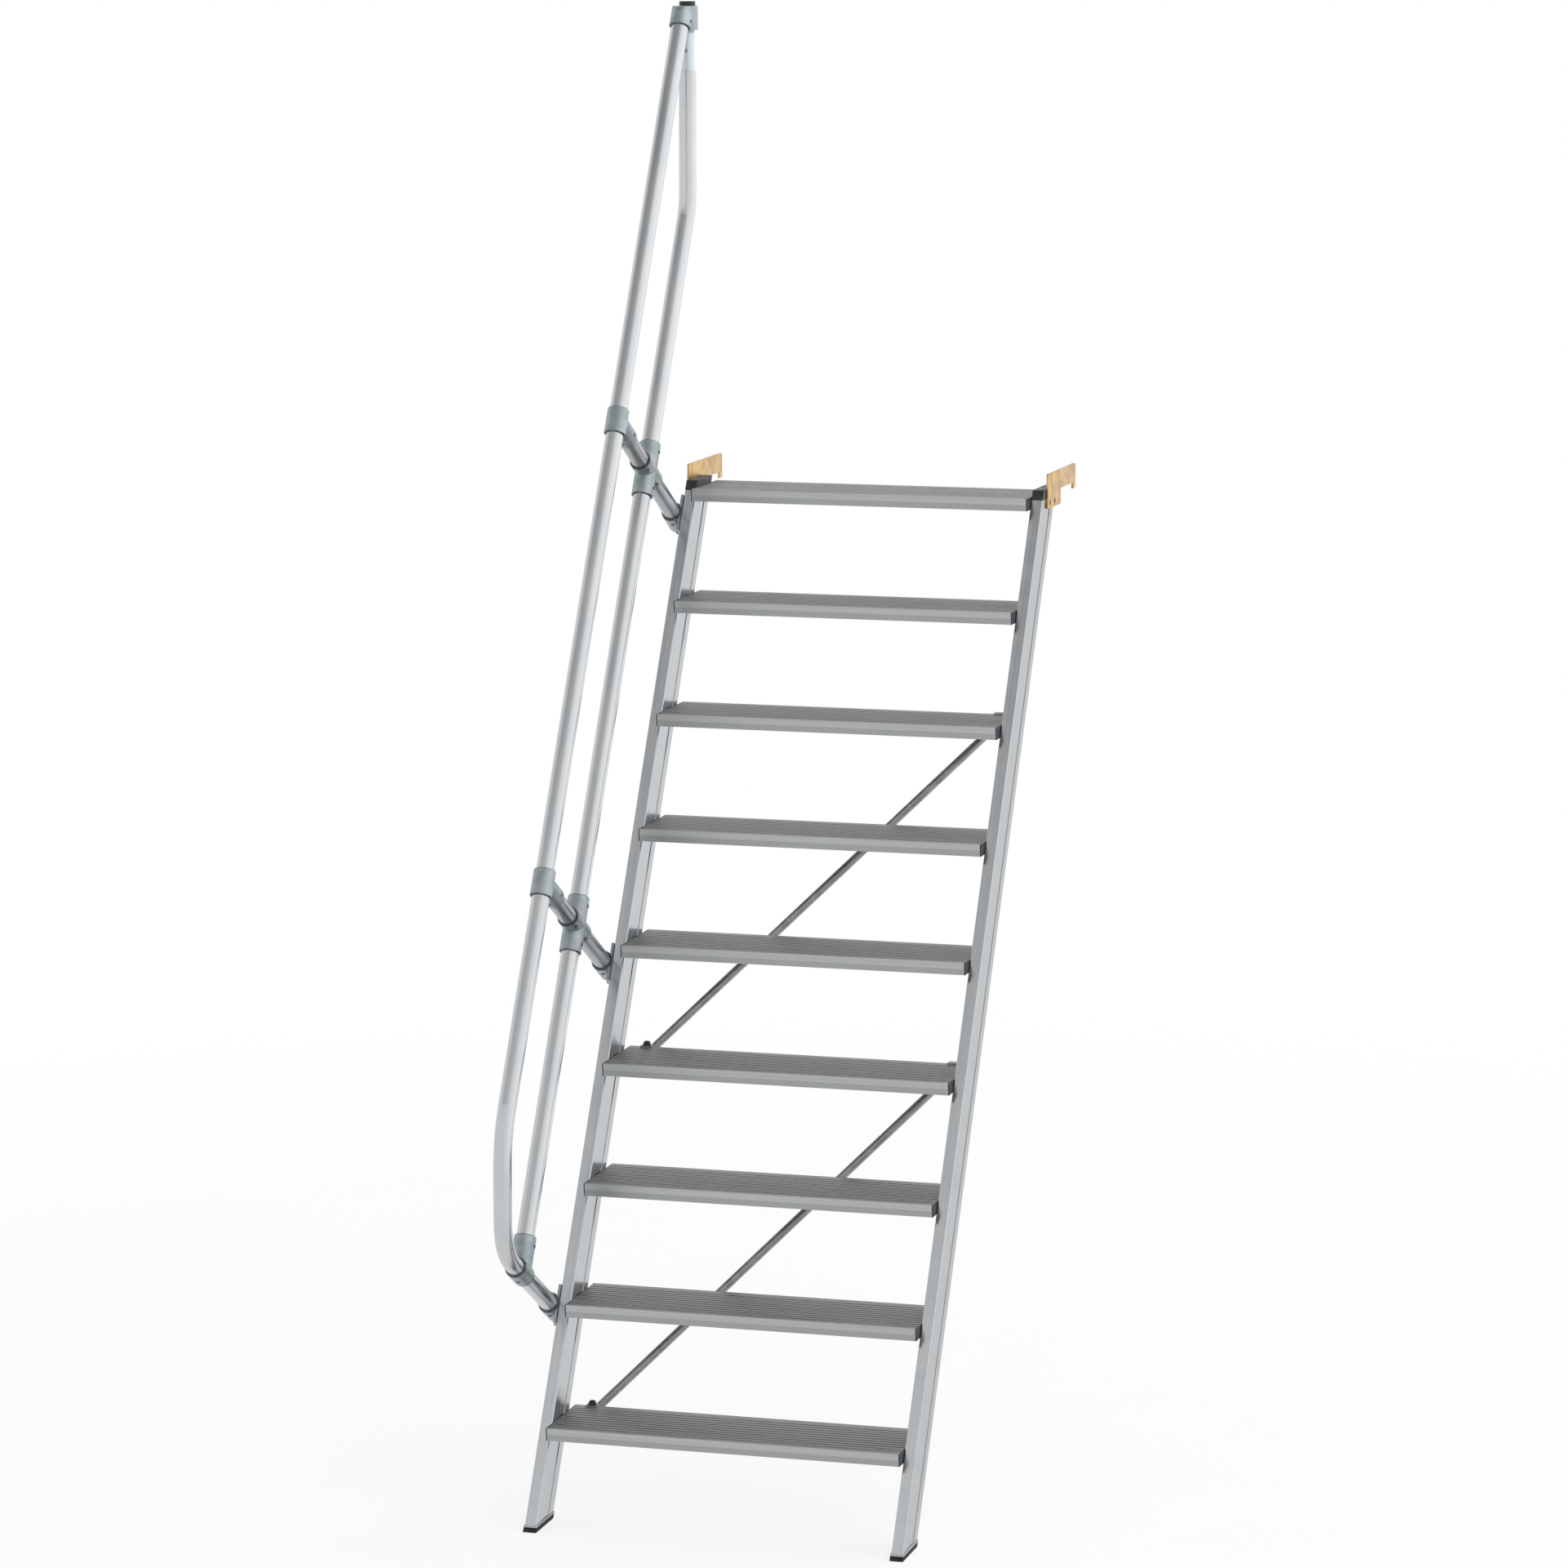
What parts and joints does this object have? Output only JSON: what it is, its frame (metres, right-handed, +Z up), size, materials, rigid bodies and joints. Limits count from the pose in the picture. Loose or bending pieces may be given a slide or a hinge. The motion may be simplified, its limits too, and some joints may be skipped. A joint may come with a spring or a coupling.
{
  "type": "ship ladder",
  "caption": "Steep open-tread metal stair with hollow side stringers, ribbed treads, cross braces, a handrail on one side and top hooks.",
  "frame": {"origin": "middle of the left top hook's flat seat, where it rests on the landing's edge, 6 mm above the top tread", "axes": "+Z up, +Y from the climber into the landing, +X to the climber's right"},
  "size_m": [0.9015, 1.627, 3.266],
  "materials": {
    "stringer_aluminium": "satin extruded",
    "tread_aluminium": "ribbed extruded, dull on top",
    "tube_aluminium": "satin drawn tube",
    "cast_aluminium": "blasted casting",
    "yellow_zinc_steel": "yellow passivated zinc on steel",
    "black_plastic": "moulded",
    "black_rubber": "moulded"
  },
  "bodies": {
    "root": {"stringer_left": "stringer_aluminium", "stringer_right": "stringer_aluminium", "tread_1": "tread_aluminium", "tread_2": "tread_aluminium", "tread_3": "tread_aluminium", "tread_4": "tread_aluminium", "tread_5": "tread_aluminium", "tread_6": "tread_aluminium", "tread_7": "tread_aluminium", "tread_8": "tread_aluminium", "tread_9": "tread_aluminium", "tread_end_caps_left": "black_plastic", "tread_end_caps_right": "black_plastic", "foot_left": "black_rubber", "foot_right": "black_rubber", "top_cap_left": "black_plastic", "top_cap_right": "black_plastic", "top_hook_left": "yellow_zinc_steel", "top_hook_right": "yellow_zinc_steel", "brace_lower": "tube_aluminium", "brace_upper": "tube_aluminium", "handrail": "tube_aluminium", "knee_rail": "tube_aluminium", "stanchions": "tube_aluminium", "stanchion_heads": "tube_aluminium", "handrail_clamps": "cast_aluminium", "knee_clamps": "cast_aluminium", "stanchion_bases": "cast_aluminium", "knee_tee_lower": "cast_aluminium", "top_fitting": "cast_aluminium", "post_cap": "black_plastic"}
  },
  "joints": []
}
